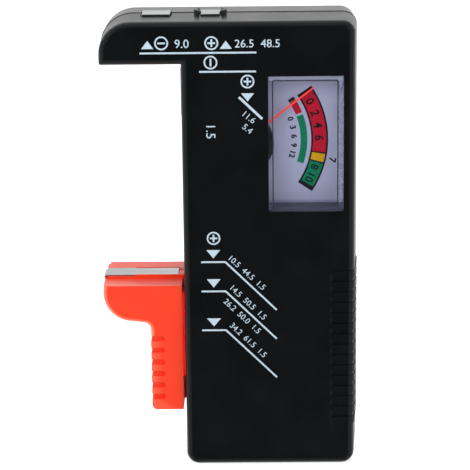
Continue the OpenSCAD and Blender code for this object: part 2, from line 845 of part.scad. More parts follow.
module yoke_ring() {
    color("#3a3c40")
    difference() {
        rod_y(pivot_x, pivot_z, ring_front, ring_back, ring_out);
        rod_y(pivot_x, pivot_z, ring_front - cut, ring_back + cut, ring_in);
        for (side = [-1, 1])
            rod_y(pivot_x, pivot_z + side * post_at, ring_front - cut, ring_back + cut, bridge_screw_r + 0.05);
    }
}

module magnet_core() {
    color("#55585c")
    intersection() {
        rod_y(pivot_x, pivot_z, core_front, core_back, magnet_r);
        translate([pivot_x, 0, pivot_z])
            block([-magnet_r, core_front - cut, -core_flat], [magnet_r, core_back + cut, core_flat]);
    }
}

module core_spacers() {
    spacer_w = 2.2;
    color("#c8a24a")
    for (side = [-1, 1])
        intersection() {
            rod_y(pivot_x, pivot_z, core_front + 0.3, core_back - 0.3, ring_in);
            translate([pivot_x, 0, pivot_z + side * (core_flat + ring_in) / 2])
                block(
                    [-spacer_w / 2, core_front, -(ring_in - core_flat) / 2],
                    [spacer_w / 2, core_back, (ring_in - core_flat) / 2]);
        }
}

module cap_bridge() {
    color("#222426")
    difference() {
        union() {
            rod_y(pivot_x, pivot_z, cap_front, cap_back, cap_r);
            for (side = [-1, 1])
                rod_y(pivot_x, pivot_z + side * post_at, cap_back - bury, ring_front, post_r);
            spring_stud(cap_back - bury, spring_front_y + spring_h);
        }
        rod_y(pivot_x, pivot_z, cap_front - cut, cap_back + cut, bearing_r + 0.03);
        for (side = [-1, 1])
            rod_y(pivot_x, pivot_z + side * post_at, cap_front - cut, ring_front + cut, bridge_screw_r + 0.05);
    }
}

module bridge_screws() {
    color("#c8a24a")
    for (side = [-1, 1]) {
        rod_y(pivot_x, pivot_z + side * post_at, cap_front - 0.02, ring_back + 3.5, bridge_screw_r);
        rod_y(pivot_x, pivot_z + side * post_at, cap_front - 0.35, cap_front, 1);
    }
}

// Threaded bearings with a cup that takes the pin's tip
module bearing_screws() {
    color("#d0b060") {
        difference() {
            rod_y(pivot_x, pivot_z, cap_front - 0.25, front_bearing_y, bearing_r);
            rod_y(pivot_x, pivot_z, front_bearing_y - bearing_depth, front_bearing_y + cut, cup_r);
            translate([pivot_x, 0, pivot_z])
                block([-bearing_r - cut, cap_front - cut, -0.15], [bearing_r + cut, cap_front + 0.1, 0.15]);
        }
        difference() {
            rod_y(pivot_x, pivot_z, rear_bearing_y, base_back + 0.2, bearing_r);
            rod_y(pivot_x, pivot_z, rear_bearing_y - cut, rear_bearing_y + bearing_depth, cup_r);
        }
    }
}

// Flat spiral with its collet on the pivot pin
module hairspring(y) {
    steps = 18;
    count = spring_turns * steps;
    rise = (spring_out - spring_in) / count;
    middle = [
        for (k = [0 : count])
            (spring_in + rise * k) * [cos(360 * (k - count) / steps), sin(360 * (k - count) / steps)]];
    translate([pivot_x, 0, pivot_z]) {
        plan(y, y + spring_h) polygon(ribbon(middle, spring_t));
        difference() {
            rod_y(0, 0, y - 0.05, y + spring_h + 0.05, spring_in);
            rod_y(0, 0, y - cut, y + spring_h + cut, pin_r + 0.03);
        }
    }
}

module hairspring_front() {
    color("#b98a4a") hairspring(spring_front_y);
}

module hairspring_rear() {
    color("#b98a4a") hairspring(spring_rear_y);
}

module meter_terminals() {
    color("#c8a24a")
    for (z = terminal_z) {
        rod_y(terminal_x, z, base_back - meter_wall - 0.8, board_back + 2.4, terminal_r);
        rod_y(terminal_x, z, base_back - meter_wall - 1.6, base_back - meter_wall - bury, 2.1);
    }
}

module terminal_nuts() {
    color("#b9bcc0")
    for (z = terminal_z)
        translate([terminal_x, board_back, z]) rotate([-90, 0, 0])
            difference() {
                cylinder(h = 1.6, r = 2.3, $fn = 6);
                translate([0, 0, -cut]) cylinder(h = 1.6 + 2 * cut, r = terminal_r + 0.05);
            }
}

// Everything that turns with the pointer is drawn pointing right and set to its rest angle
module on_pivot() {
    translate([pivot_x, 0, pivot_z]) rotate([0, -pointer_rest, 0]) children();
}

// Rectangular hoop round the magnet: half length outside and inside, front and back faces
module hoop(out, hole, y0, y1, hole_y0, hole_y1, width) {
    difference() {
        block([-out, y0, -width / 2], [out, y1, width / 2]);
        block([-hole, hole_y0, -width], [hole, hole_y1, width]);
    }
}

module coil_former() {
    color("#b8bcc2")
    on_pivot()
        hoop(
            coil_in + former_t, coil_in, former_front, former_back,
            former_front + former_t, former_back - former_t, coil_w);
}

module coil_winding() {
    color("#a8552a")
    on_pivot()
        hoop(
            coil_out, coil_in + former_t, winding_front, winding_back,
            former_front, former_back, coil_w - 0.3);
}

module pivot_pins() {
    color("#b9bcc0")
    on_pivot() {
        rod_y(0, 0, winding_front - pin_base_t, winding_front, pin_base_r);
        rod_y(0, 0, front_bearing_y - bearing_depth + 0.1, winding_front - pin_base_t / 2, pin_r);
        rod_y(0, 0, winding_back, winding_back + pin_base_t, pin_base_r);
        rod_y(0, 0, winding_back + pin_base_t / 2, rear_bearing_y + bearing_depth - 0.1, pin_r);
    }
}

module pointer() {
    color("#e8311f")
    on_pivot()
        difference() {
            union() {
                rod_y(0, 0, pointer_front, pointer_back, 1.1);
                plan(pointer_front, pointer_back) {
                    polygon([[0, -0.28], [pointer_len, -0.17], [pointer_len, 0.17], [0, 0.28]]);
                    translate([-tail_len, -0.3]) square([tail_len, 0.6]);
                    translate([-0.3, -arm_len]) square([0.6, 2 * arm_len]);
                }
            }
            rod_y(0, 0, pointer_front - cut, pointer_back + cut, pin_r + 0.02);
        }
}

// Slugs behind the pointer's tail and cross arms
module balance_weights() {
    color("#c8a24a")
    on_pivot() {
        rod_y(-tail_len + 0.3, 0, pointer_back, pointer_back + 0.22, weight_r);
        rod_y(-tail_len + 0.3, 0, pointer_front - weight_t, pointer_front, weight_r);
        for (side = [-1, 1]) rod_y(0, side * (arm_len - 0.2), pointer_front - 0.3, pointer_front, arm_weight_r);
    }
}

// Slider's outline from the front
slider_outline = concat(
    [[slider_r, slider_foot], [slider_r, slider_top], [head_l + 0.1, slider_top]],
    on_arc([head_l + head_r, head_under + head_r], head_r, 180, 270, arc_steps),
    on_arc([grip_l - neck_r, head_under - 0.3 - neck_r], neck_r, 90, 0, arc_steps),
    on_arc([grip_l + foot_r, slider_foot + foot_r], foot_r, 180, 270, arc_steps));

module slider() {
    half = slider_depth / 2;
    color("#f4502c")
    difference() {
        union() {
            plan(-half, half) polygon(slider_outline);
            block([head_l + 0.7, -ledge_half, slider_top - bury], [slider_r, half, slider_top + ledge_low]);
            block([ledge_step, -ledge_half, slider_top - bury], [slider_r, ledge_half, slider_top + ledge_high]);
            block([slider_r - bury, -ledge_half, pad_hi - bury], [left - fit, ledge_end, slider_top + ledge_high]);
            block([slider_r - bury, -pad_half, pad_lo], [slider_r + pad_rise, pad_half, pad_hi]);
            block([slider_r - bury, web_front, shoe_lo], [shoe_l + bury, web_back, slider_top]);
            block([slider_r - bury, web_front, slider_foot], [left - fit, web_back, shoe_lo + bury]);
            block([shoe_l, -shoe_half, shoe_lo], [shoe_r, shoe_half, shoe_hi]);
        }
        for (i = [0 : groove_count - 1]) {
            z = groove_first + i * groove_pitch;
            for (y = [-half, half])
                plan(y - groove_deep, y + groove_deep) {
                    translate([groove_r - groove_h / 2, z]) circle(d = groove_h);
                    translate([grip_l - cut, z - groove_h / 2]) square([groove_r - groove_h / 2 - grip_l + cut, groove_h]);
                }
            block([grip_l - cut, -half - cut, z - groove_h / 2], [grip_l + groove_deep / 2, half + cut, z + groove_h / 2]);
        }
        block(
            [grip_l + core_wall, -half + core_wall, slider_foot - cut],
            [slider_r - core_wall, half - core_wall, core_hi]);
        block(
            [head_l, -strip_half, slider_top + ledge_low],
            [fold_back, strip_half, slider_top + ledge_high + cut]);
        block(
            [fold_x - sheet / 2 - fit, -strip_half, tail_z - sheet / 2 - fit],
            [fold_back, strip_half, slider_top + ledge_high]);
        block(
            [fold_back - fit, ledge_end, slider_top],
            [slider_r + cut, ledge_half, slider_top + ledge_high + cut]);
        block(
            [fold_x, -tail_w / 2 - fit, tail_z - sheet / 2 - fit],
            [shoe_r + cut, tail_w / 2 + fit, tail_z + sheet / 2 + fit]);
        rod_x(shoe_l - cut, shoe_r + cut, 0, rivet_z, rivet_r + 0.05);
        rod_x(shoe_l - cut, shoe_l + 0.6, 0, rivet_z, rivet_head_r + 0.1);
        for (notch = pad_notches)
            block([slider_r, -pad_half - cut, notch[0]], [left, web_front, notch[0] + notch[1]]);
    }
}

module slider_contact() {
    color("#cfd1d4")
    difference() {
        union() {
            bent_strip([
                [head_l - 0.05, slider_top + 0.22], [head_l + 0.55, strip_z], [fold_x, strip_z],
                [fold_x, tail_z + 1.4]], strip_w);
            bent_strip([
                [fold_x, tail_z + 2], [fold_x, tail_z], [tail_in_x, tail_z], [tail_in_x, tail_lo]], tail_w);
        }
        rod_x(shoe_r - cut, tail_in_x + cut, 0, rivet_z, rivet_r + 0.05);
    }
}

module slider_wiper() {
    touch_x = rail_l - 0.02 - wiper_t / 2;
    color("#c98f4e")
    difference() {
        bent_strip([
            [wiper_x, rivet_z + 2.4], [wiper_x, rivet_z - 2.6], [touch_x - 0.3, rivet_z - 8.6],
            [touch_x, rivet_z - 9.4], [touch_x, rivet_z - 10], [touch_x - 0.6, rivet_z - 11]],
            wiper_w, wiper_t);
        rod_x(tail_in_x, wiper_x + cut, 0, rivet_z, rivet_r + 0.05);
    }
}

module wiper_rivet() {
    head = wiper_x + wiper_t / 2;
    color("#c8a24a") {
        rod_x(shoe_l + 0.1, head + 0.1, 0, rivet_z, rivet_r);
        rod_x(shoe_l + 0.05, shoe_l + 0.55, 0, rivet_z, rivet_head_r);
        rod_x(head, head + 0.5, 0, rivet_z, rivet_head_r);
    }
}

front_cover();
back_cover();
case_screws();
jaw_contact();
button_contact();
snap_contact_negative();
snap_contact_positive();
contact_rail();
circuit_board();
cell_load_resistor();
block_load_resistor();
series_resistor();
jaw_wire();
block_wire();
button_wire();
rail_wire();
link_wire();
meter_base();
meter_lens();
dial_plate();
yoke_ring();
magnet_core();
core_spacers();
cap_bridge();
bridge_screws();
bearing_screws();
hairspring_front();
hairspring_rear();
meter_terminals();
terminal_nuts();
coil_former();
coil_winding();
pivot_pins();
pointer();
balance_weights();
slider();
slider_contact();
slider_wiper();
wiper_rivet();
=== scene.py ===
import json
import math

import bmesh
import bpy
from mathutils import Matrix, Vector


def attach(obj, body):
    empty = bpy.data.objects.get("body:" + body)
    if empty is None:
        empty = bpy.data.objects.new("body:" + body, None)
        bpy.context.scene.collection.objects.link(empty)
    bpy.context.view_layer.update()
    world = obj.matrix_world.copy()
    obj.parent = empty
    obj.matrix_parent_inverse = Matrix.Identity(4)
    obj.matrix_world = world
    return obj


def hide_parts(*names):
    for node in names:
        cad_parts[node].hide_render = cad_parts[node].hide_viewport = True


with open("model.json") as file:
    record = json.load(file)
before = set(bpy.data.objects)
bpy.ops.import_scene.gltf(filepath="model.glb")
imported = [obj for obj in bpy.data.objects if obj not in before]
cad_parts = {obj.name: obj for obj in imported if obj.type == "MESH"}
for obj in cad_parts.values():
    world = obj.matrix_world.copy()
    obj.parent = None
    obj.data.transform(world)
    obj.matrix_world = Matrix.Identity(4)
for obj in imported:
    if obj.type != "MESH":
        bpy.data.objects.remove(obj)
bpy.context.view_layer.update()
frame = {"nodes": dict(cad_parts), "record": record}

MM = 0.001
CASE = "case"
FRONT_Y = -12.5                  # face of the case
SEAM_Y = 2.7                     # where the two covers meet
DIAL_Y = -5.0                    # face of the dial
DIAL_CENTRE = (-8.38, 78.87)     # centre of the dial's arcs: x, z
INK = 0.02                       # thickness of printed ink


# ---------------------------------------------------------------- finishes

def to_linear(code):
    """Turns an sRGB colour such as '#1b1e20' into linear red, green, blue and alpha."""
    parts = [int(code[i:i + 2], 16) / 255 for i in (1, 3, 5)]
    return tuple(c / 12.92 if c <= 0.04045 else ((c + 0.055) / 1.055) ** 2.4 for c in parts) + (1.0,)


def add_node(tree, kind, settings=None, links=None):
    """Adds a shader node. Settings go by the name of its property or input. Links give the output that feeds
    each input, or a node, which feeds it by its first output in use."""
    node = tree.nodes.new("ShaderNode" + kind)
    for key, value in (settings or {}).items():
        if isinstance(key, str) and hasattr(node, key):
            setattr(node, key, value)
        else:
            node.inputs[key].default_value = value
    for key, source in (links or {}).items():
        if isinstance(source, bpy.types.Node):
            source = next(output for output in source.outputs if output.enabled)
        tree.links.new(source, node.inputs[key])
    return node


# The inputs of a Map Range node go by number: 0 is the value, 1 and 2 the range it comes from, and 3 and 4
# the range it goes to, 0 to 1 unless given. A Mix node's are 0 the factor, 2 and 3 two numbers, and 6 and 7
# two colours.
NOISE_RANGE = {1: 0.3, 2: 0.7}   # nearly all of a noise pattern lies in here


def new_material(name):
    """An empty material, its node tree and its object coordinates."""
    material = bpy.data.materials.new(name)
    material.use_nodes = True
    tree = material.node_tree
    tree.nodes.clear()
    return material, tree, add_node(tree, "TexCoord").outputs["Object"]


def surface(name, colour, other, rough, patch_mm, grain_mm, grain_um, stretch=(1, 1, 1), own_look=None,
            **sockets):
    """A finish whose colour and gloss drift over patches patch_mm across, with a grain grain_mm across and
    grain_um deep. Stretch squeezes both along each axis, and own_look gives links for one piece alone."""
    material, tree, where = new_material(name)
    place = add_node(tree, "Mapping", {"Scale": stretch}, {"Vector": where})
    patches = add_node(tree, "TexNoise", {"Scale": 1 / (patch_mm * MM), "Detail": 3.0}, {"Vector": place})
    grain = add_node(tree, "TexNoise", {"Scale": 1 / (grain_mm * MM), "Detail": 2.0}, {"Vector": place})
    drift = add_node(tree, "MapRange", NOISE_RANGE, {0: patches})
    tint = add_node(tree, "Mix", {"data_type": "RGBA", 6: to_linear(colour), 7: to_linear(other)},
                    {0: drift})
    gloss = add_node(tree, "MapRange", {**NOISE_RANGE, 3: rough[0], 4: rough[1]}, {0: patches})
    bump = add_node(tree, "Bump", {"Strength": 1.0, "Distance": grain_um * 1e-6}, {"Height": grain})
    links = {"Base Color": tint, "Roughness": gloss, "Normal": bump}
    if own_look:
        links.update(own_look(tree, where, tint))
    settings = {socket.replace("_", " "): value for socket, value in sockets.items()}
    shader = add_node(tree, "BsdfPrincipled", settings, links)
    add_node(tree, "OutputMaterial", links={"Surface": shader})
    return material


# colours of the painted highlight on the slider's free edge and of the painted glow in its thin pad
EDGE_HIGHLIGHT_RED, PAINTED_GLOW_RED = "#ff7c5e", "#ff0500"
PAD_X = -20.75                   # right of this the slider is only its thin pad
PAD_Z = (21.3, 42.4)             # the height over which the pad gets a painted glow, as of light coming through it
PAD_PAINTED_GLOW = 0.45
FADE = 0.1                       # over which the glow comes and goes


def slider_painted_light(tree, where, plain):
    """The rounded free edge, marked on the mesh, is painted paler: a painted highlight for light entering it
    from the side. The thin pad is painted deep clear red with a painted glow, for light coming through it."""
    place = add_node(tree, "SeparateXYZ", links={0: where}).outputs
    edge = add_node(tree, "Attribute", {"attribute_name": "edge"}).outputs["Fac"]
    # painted highlight: the marked edge turns paler red
    highlighted = add_node(tree, "Mix", {"data_type": "RGBA", 7: to_linear(EDGE_HIGHLIGHT_RED)}, {0: edge, 6: plain})
    # the thin pad: painted deep red, for light coming through it
    pad = add_node(tree, "MapRange", {1: (PAD_X - FADE / 2) * MM, 2: PAD_X * MM}, {0: place["X"]})
    whole = add_node(tree, "Mix", {"data_type": "RGBA", 7: to_linear(PAINTED_GLOW_RED)}, {0: pad, 6: highlighted})
    low, high = PAD_Z
    # painted glow: emission over the pad's height, fading in and out at its ends
    above = add_node(tree, "MapRange", {1: low * MM, 2: (low + FADE) * MM, 4: PAD_PAINTED_GLOW}, {0: place["Z"]})
    below = add_node(tree, "MapRange", {1: (high - FADE) * MM, 2: high * MM, 3: PAD_PAINTED_GLOW, 4: 0},
                     {0: place["Z"]})
    between = add_node(tree, "Math", {"operation": "MINIMUM"}, {0: above, 1: below})
    glow = add_node(tree, "Math", {"operation": "MULTIPLY"}, {0: pad, 1: between})
    return {"Base Color": whole, "Emission Strength": glow}


# Injection-moulded ABS, black, from a spark-eroded tool: an even satin with a fine tooth and no clear
# reflections. The real tooth is too fine to show, some 0.03 mm, and is drawn at 0.35 mm.
CASE_ABS = surface("black_abs_moulded", "#05090b", "#080c0e", (0.27, 0.33), 9.0, 0.35, 3, IOR=1.5)
# The rear cover comes from a finer tool and shines a little more.
REAR_ABS = surface("black_abs_rear", "#05090b", "#080c0e", (0.2, 0.24), 9.0, 0.35, 2, IOR=1.5)
# The same plastic inside the case, from the tool's bare machined faces: greyer and duller.
INNER_ABS = surface("black_abs_inner", "#141618", "#1c1e20", (0.5, 0.6), 6.0, 0.5, 6, IOR=1.5)
# Injection-moulded ABS with a fluorescent red pigment, from a finely stoned tool: light goes a little way
# in, and the face has a faint bloom. Its emission colour serves the painted glow of the thin pad.
SLIDER_ABS = surface("red_abs_moulded", "#f7401a", "#f03a16", (0.30, 0.38), 7.0, 0.4, 3,
                     own_look=slider_painted_light, IOR=1.5, Subsurface_Weight=0.4,
                     Subsurface_Radius=(1.0, 0.1, 0.05), Subsurface_Scale=0.0015, Sheen_Weight=0.25,
                     Sheen_Roughness=0.3, Emission_Color=to_linear(PAINTED_GLOW_RED))
# Spring steel strip, barrel-plated with nickel: warm grey, softly brushed along the strip. The brush lines
# are drawn 0.12 mm apart, coarser than the real ones, so that they show.
NICKEL = surface("nickel_plated_strip", "#ced0d1", "#bfc1c3", (0.22, 0.34), 2.5, 0.12, 1.5,
                 (0.12, 1, 1), Metallic=1.0)
# Zinc-plated steel screws and pins, tumbled in the bath: grey with a faint blue cast.
ZINC = surface("zinc_plated_steel", "#a9adb3", "#969a9f", (0.28, 0.4), 1.2, 0.15, 2, Metallic=1.0)
# Half-hard brass, drawn as strip or turned: fine lines along it.
BRASS = surface("brass_half_hard", "#c9a24c", "#b78f3f", (0.25, 0.4), 2.0, 0.15, 2, (1, 1, 0.15),
                Metallic=1.0)
# Phosphor bronze, rolled hard for springs: redder than brass and even.
BRONZE = surface("phosphor_bronze", "#c08a52", "#a97545", (0.25, 0.36), 1.5, 0.12, 1, Metallic=1.0)
# Enamelled copper wire wound in layers: fine ridges across the coil, drawn coarser than the real wire.
COPPER = surface("enamelled_copper_winding", "#b4602f", "#8f4522", (0.3, 0.45), 0.4, 0.12, 12,
                 (1, 1, 3), Metallic=1.0)
# Rolled aluminium sheet, folded for the coil's former: pale with a soft gloss.
ALUMINIUM = surface("aluminium_sheet", "#c4c7cb", "#b4b7bb", (0.3, 0.4), 1.5, 0.2, 1, Metallic=1.0)
# Soft iron with a blackened skin: dark and dull.
IRON = surface("blackened_iron", "#3a3c40", "#2c2e31", (0.45, 0.6), 2.0, 0.3, 5, Metallic=1.0)
# Sintered magnet steel: dull and slightly grainy.
MAGNET = surface("sintered_magnet", "#4b4e52", "#3c3e42", (0.5, 0.65), 1.0, 0.25, 10, Metallic=1.0)
# Glass-fibre laminate under green resist, with the weave just showing.
LAMINATE = surface("green_laminate", "#2f6b3a", "#28602f", (0.3, 0.4), 1.2, 0.5, 6, IOR=1.5)
# Carbon-film resistors dipped in lacquer: thick, soft and slightly uneven.
RESISTOR_BLUE = surface("blue_lacquer", "#7fa3b5", "#7296a8", (0.3, 0.45), 0.8, 0.3, 6, IOR=1.5)
RESISTOR_TAN = surface("tan_lacquer", "#cdb68c", "#bfa67c", (0.35, 0.5), 0.8, 0.3, 6, IOR=1.5)
# Extruded PVC on the wires: soft gloss with slight waves from the die.
WIRE_BLACK = surface("pvc_black", "#1b1b1c", "#242425", (0.35, 0.5), 1.5, 0.4, 6, IOR=1.52)
WIRE_RED = surface("pvc_red", "#b3261e", "#a3201a", (0.35, 0.5), 1.5, 0.4, 6, IOR=1.52)
WIRE_YELLOW = surface("pvc_yellow", "#d8a41c", "#c99716", (0.35, 0.5), 1.5, 0.4, 6, IOR=1.52)
# Aluminium needle sprayed with fluorescent red-orange lacquer, with a faint painted glow from emission.
NEEDLE_PAINT = surface("needle_red_lacquer", "#ff4630", "#f43c26", (0.35, 0.45), 2.0, 0.2, 2, IOR=1.48,
                       Emission_Color=to_linear("#ff4630"), Emission_Strength=0.2)
# Screen-printed ink: thin and matt, its cells just showing as slight mottling.
INK_WHITE = surface("screen_ink_pale_blue", "#bccfdb", "#adc0cd", (0.5, 0.65), 0.5, 0.12, 4, IOR=1.45)
INK_BLACK = surface("dial_ink_black", "#10121a", "#181b25", (0.5, 0.6), 0.6, 0.15, 2, IOR=1.45,
                    Specular_IOR_Level=0.2)
INK_RED = surface("dial_ink_red", "#c4102f", "#b70e2a", (0.5, 0.6), 0.7, 0.15, 2, IOR=1.45,
                  Specular_IOR_Level=0.2)
INK_YELLOW = surface("dial_ink_yellow", "#dba912", "#cf9d0e", (0.5, 0.6), 0.7, 0.15, 2, IOR=1.45,
                     Specular_IOR_Level=0.2)
INK_GREEN = surface("dial_ink_green", "#00835a", "#007850", (0.5, 0.6), 0.7, 0.15, 2, IOR=1.45,
                    Specular_IOR_Level=0.2)
# Aluminium dial plate under a sprayed coat of pale lavender-grey paint: nearly matt.
DIAL_PAINT = surface("dial_paint_lavender", "#b1b5cb", "#abafc6", (0.45, 0.55), 5.0, 0.3, 2, IOR=1.45)

RIM_CENTRE = (8.61, 0, 78.62)    # middle of the dark line round the view through the lens
RIM_HALF = (7.54, 0, 15.6)       # half its width and height
RIM_TURN = 0.35                  # radius of its corners


def clear_lens():
    """Clear polystyrene from a polished tool. The moulded rim round the view is thicker. Where its inner
    fillet bends the view away, a fine dark line and a dark foot are painted shade; the top and right walls,
    which pipe light, are painted pale and uneven as painted light. Light passes to the dial as through thin
    glass."""
    material, tree, where = new_material("clear_polystyrene")
    haze = add_node(tree, "TexNoise", {"Scale": 1 / (4.0 * MM), "Detail": 2.0}, {"Vector": where})
    gloss = add_node(tree, "MapRange", {**NOISE_RANGE, 3: 0.02, 4: 0.05}, {0: haze})
    tint = add_node(tree, "Mix", {"data_type": "RGBA", 6: to_linear("#fdfdff"), 7: to_linear("#fafaff")},
                    {0: haze})
    plastic = add_node(tree, "BsdfPrincipled", {"IOR": 1.49, "Transmission Weight": 1.0},
                       {"Base Color": tint, "Roughness": gloss})

    # how far each place lies outside the line, a rectangle with round corners seen from the front
    centre = [c * MM for c in RIM_CENTRE]
    corner = [max(c - RIM_TURN, 0) * MM for c in RIM_HALF]
    reach = where
    for step, other in (("MULTIPLY", (1, 0, 1)), ("SUBTRACT", centre), ("ABSOLUTE", None),
                        ("SUBTRACT", corner), ("MAXIMUM", (0, 0, 0)), ("LENGTH", None)):
        settings = {"operation": step, 1: other} if other else {"operation": step}
        reach = add_node(tree, "VectorMath", settings, {0: reach})
    off_line = add_node(tree, "Math", {"operation": "SUBTRACT", 1: RIM_TURN * MM}, {0: reach})
    near = add_node(tree, "Math", {"operation": "ABSOLUTE"}, {0: off_line})

    place = add_node(tree, "SeparateXYZ", links={0: where}).outputs
    # painted glints: uneven patches in the painted light of the right wall
    glint_noise = add_node(tree, "Mapping", {"Scale": (1.6, 0, 0.6)}, {"Vector": where})
    glint_noise = add_node(tree, "TexNoise", {"Scale": 1 / (1.1 * MM), "Detail": 1.0}, {"Vector": glint_noise})
    uneven = add_node(tree, "MapRange", {1: 0.45, 2: 0.65, 4: 0.7}, {0: glint_noise})
    # what each is read from, where it changes in mm, and what it is before and after
    on_face, foot, top, right, line, outside = (
        add_node(tree, "MapRange", {1: start * MM, 2: end * MM, 3: first, 4: last}, {0: source})
        for source, start, end, first, last in (
            (place["Y"], -12.28, -12.24, 1, 0), (place["Z"], 65.2, 65.45, 0.82, 0),
            (place["Z"], 94.1, 94.3, 0, 0.85), (place["X"], 16.1, 16.3, 0, 1),
            (near, 0.07, 0.2, 0.95, 0), (off_line, 0.12, 0.3, 0, 1)))
    # painted shade: the dark line and the dark foot
    dark = add_node(tree, "Math", {"operation": "MAXIMUM"}, {0: line, 1: foot})
    dark = add_node(tree, "Math", {"operation": "MULTIPLY"}, {0: dark, 1: on_face})
    # painted light: the pale top and right walls, with uneven glints on the right
    pale = add_node(tree, "Math", {"operation": "MULTIPLY"}, {0: right, 1: uneven})
    pale = add_node(tree, "Math", {"operation": "MAXIMUM"}, {0: top, 1: pale})
    pale = add_node(tree, "Math", {"operation": "MULTIPLY"}, {0: outside, 1: pale})
    pale = add_node(tree, "Math", {"operation": "MULTIPLY"}, {0: pale, 1: on_face})

    # a pale diffuse coat of painted light and a dark one of painted shade over the clear plastic
    seen = plastic
    for cover, code in ((pale, "#82869b"), (dark, "#2b2d3a")):
        coat = add_node(tree, "BsdfDiffuse", {"Color": to_linear(code)})
        seen = add_node(tree, "MixShader", links={0: cover, 1: seen, 2: coat})
    ray = add_node(tree, "LightPath").outputs
    clear = add_node(tree, "BsdfTransparent", {"Color": to_linear("#fafaff")})
    through = add_node(tree, "Math", {"operation": "MAXIMUM"},
                       {0: ray["Is Shadow Ray"], 1: ray["Is Diffuse Ray"]})
    whole = add_node(tree, "MixShader", links={0: through, 1: seen, 2: clear})
    add_node(tree, "OutputMaterial", links={"Surface": whole})
    return material


CLEAR = clear_lens()


# ---------------------------------------------------------------- modelling

def only(*objs):
    """Selects these objects and nothing else, the first one active."""
    bpy.ops.object.select_all(action="DESELECT")
    for obj in objs:
        obj.select_set(True)
    bpy.context.view_layer.objects.active = objs[0]


def edit(obj, select="SELECT"):
    """Opens an object for editing with all or nothing of it selected."""
    only(obj)
    bpy.ops.object.mode_set(mode="EDIT")
    bpy.ops.mesh.select_all(action=select)


def leave_edit():
    bpy.ops.object.mode_set(mode="OBJECT")


def join(objs, name):
    """One object from several."""
    only(*objs)
    if len(objs) > 1:
        bpy.ops.object.join()
    obj = bpy.context.object
    obj.name = obj.data.name = name
    return obj


def settle(obj):
    """Puts an object's place, turn and size into its mesh."""
    only(obj)
    bpy.ops.object.transform_apply(location=True, rotation=True, scale=True)
    return obj


def finish(obj, name, body, material, replaces=()):
    """Names a new piece, gives it its finish and its body."""
    obj.name = obj.data.name = name
    obj.data.materials.clear()
    obj.data.materials.append(material)
    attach(obj, body)
    if replaces:
        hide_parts(*replaces)
    return obj


def upright(angle=0.0):
    """The turn that stands a flat shape up to face the front, turned anticlockwise as seen from there."""
    return math.pi / 2, -math.radians(angle), 0


def bar(x, z, length, width, angle=0.0):
    """A flat bar on the case's face, centred at x, z."""
    bpy.ops.object.select_all(action="DESELECT")
    bpy.ops.mesh.primitive_plane_add(size=MM, location=(x * MM, FRONT_Y * MM, z * MM),
                                     rotation=upright(angle))
    obj = bpy.context.object
    obj.scale = (length, width, 1)
    return settle(obj)


def disc(x, z, radius, sides, y):
    """A flat polygon centred at x, z."""
    bpy.ops.object.select_all(action="DESELECT")
    bpy.ops.mesh.primitive_circle_add(vertices=sides, radius=radius * MM, fill_type="NGON",
                                      location=(x * MM, y * MM, z * MM), rotation=upright())
    return settle(bpy.context.object)


def hollow(obj, wall):
    """Leaves a ring of this wall from a disc."""
    edit(obj)
    bpy.ops.mesh.inset(thickness=wall * MM, depth=0)
    bpy.ops.mesh.delete(type="FACE")
    leave_edit()
    return obj


def trim(obj, point, normal):
    """Cuts away what lies on the side that normal points to."""
    edit(obj)
    bpy.ops.mesh.bisect(plane_co=[c * MM for c in point], plane_no=normal, clear_outer=True)
    leave_edit()
    return obj


def stripe(points, width):
    """A line on the case's face through points given as x, z, mitred where it bends."""
    points = [Vector((x, FRONT_Y, z)) for x, z in points]
    runs = []
    for i in range(len(points) - 1):
        middle = (points[i] + points[i + 1]) / 2
        along = points[i + 1] - points[i]
        run = bar(middle.x, middle.z, along.length + 2 * width, width,
                  math.degrees(math.atan2(along.z, along.x)))
        for end, other, beyond in ((i, i + 1, i - 1), (i + 1, i, i + 2)):
            ahead = (points[end] - points[other]).normalized()
            if 0 <= beyond < len(points):
                ahead = (ahead + (points[beyond] - points[end]).normalized()).normalized()
            trim(run, points[end], ahead)
        runs.append(run)
    return join(runs, "stripe")


FIGURE_HEIGHT = 0.70             # how high figures are, as a share of the type size


def numbers(text, x, z, height, angle=0.0, bold=0.0, y=FRONT_Y, align="LEFT"):
    """Plain figures whose baseline starts at x, z, or is centred there, turned anticlockwise seen from the
    front."""
    bpy.ops.object.select_all(action="DESELECT")
    bpy.ops.object.text_add(location=(0, 0, 0))
    obj = bpy.context.object
    obj.data.body = text
    obj.data.align_x = align
    obj.data.size = height / FIGURE_HEIGHT * MM
    obj.data.offset = bold * MM
    obj.data.resolution_u = 4
    bpy.ops.object.convert(target="MESH")
    obj = bpy.context.object
    obj.rotation_euler = upright(angle)
    obj.location = (x * MM, y * MM, z * MM)
    return settle(obj)


def arrowhead():
    """A solid arrowhead that points up on the case's face, 1 mm wide and high, its base at the origin."""
    obj = disc(0, 0, 1.0, 3, FRONT_Y)
    width = 2 * max(v.co.x for v in obj.data.vertices)
    low = min(v.co.z for v in obj.data.vertices)
    high = max(v.co.z for v in obj.data.vertices)
    edit(obj)
    bpy.ops.transform.translate(value=(0, 0, -low))
    bpy.ops.transform.resize(value=(MM / width, 1, MM / (high - low)), center_override=(0, 0, 0))
    leave_edit()
    return obj


def stamp(master, places):
    """Copies of one flat shape, each with its own mesh, moved to x, z and stretched across and up."""
    copies = []
    for x, z, across, up in places:
        obj = bpy.data.objects.new(master.name, master.data.copy())
        bpy.context.scene.collection.objects.link(obj)
        obj.location = (x * MM, 0, z * MM)
        obj.scale = (across, 1, up)
        copies.append(settle(obj))
    bpy.data.objects.remove(master)
    return copies


